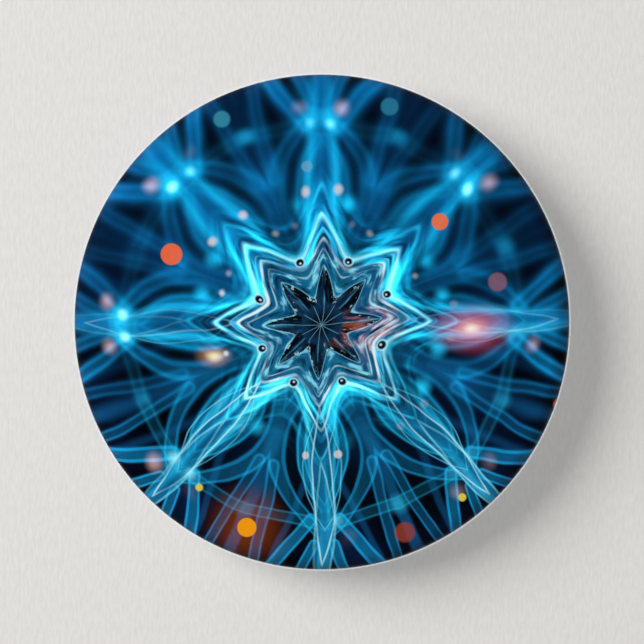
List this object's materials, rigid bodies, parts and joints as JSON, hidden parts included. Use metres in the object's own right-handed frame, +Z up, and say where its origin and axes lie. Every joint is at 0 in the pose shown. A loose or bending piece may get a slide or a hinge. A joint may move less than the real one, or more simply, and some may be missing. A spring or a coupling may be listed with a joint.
{
  "type": "button badge",
  "caption": "Round domed pin-back button badge with a wrapped printed face, a crimped back plate and an opening spring-wire pin.",
  "frame": {"origin": "middle of the badge's box: on the badge's axis, 2.0 mm in front of the plane where the folded rim rests on the cloth", "axes": "-Y is the way the printed face looks, +Y points into the cloth, +Z is up when the badge is worn with its pin across the upper back, +X is to the right seen from the front"},
  "size_m": [0.058, 0.006, 0.058],
  "materials": {
    "film": "clear gloss polyester film",
    "print": "coated paper printed in blues with orange dots",
    "shell_tinplate": "plain tinplate, slightly dull",
    "plate_tinplate": "bright tinplate with fine rolling marks",
    "pin_wire": "nickel-plated spring wire"
  },
  "bodies": {
    "badge": {"clear_film": "film", "printed_disc": "print", "front_shell": "shell_tinplate", "back_plate": "plate_tinplate", "pin_anchor": "pin_wire"},
    "needle": {"pin_needle": "pin_wire"}
  },
  "joints": [
    {"name": "needle_open", "type": "hinge", "parent": "badge", "child": "needle", "pos_m": [0.01801, 0.00111, 0.00125], "axis": [0, 0.7071, -0.7071], "range_deg": [0, 50], "stiffness_Nm_per_rad": 0.002}
  ]
}
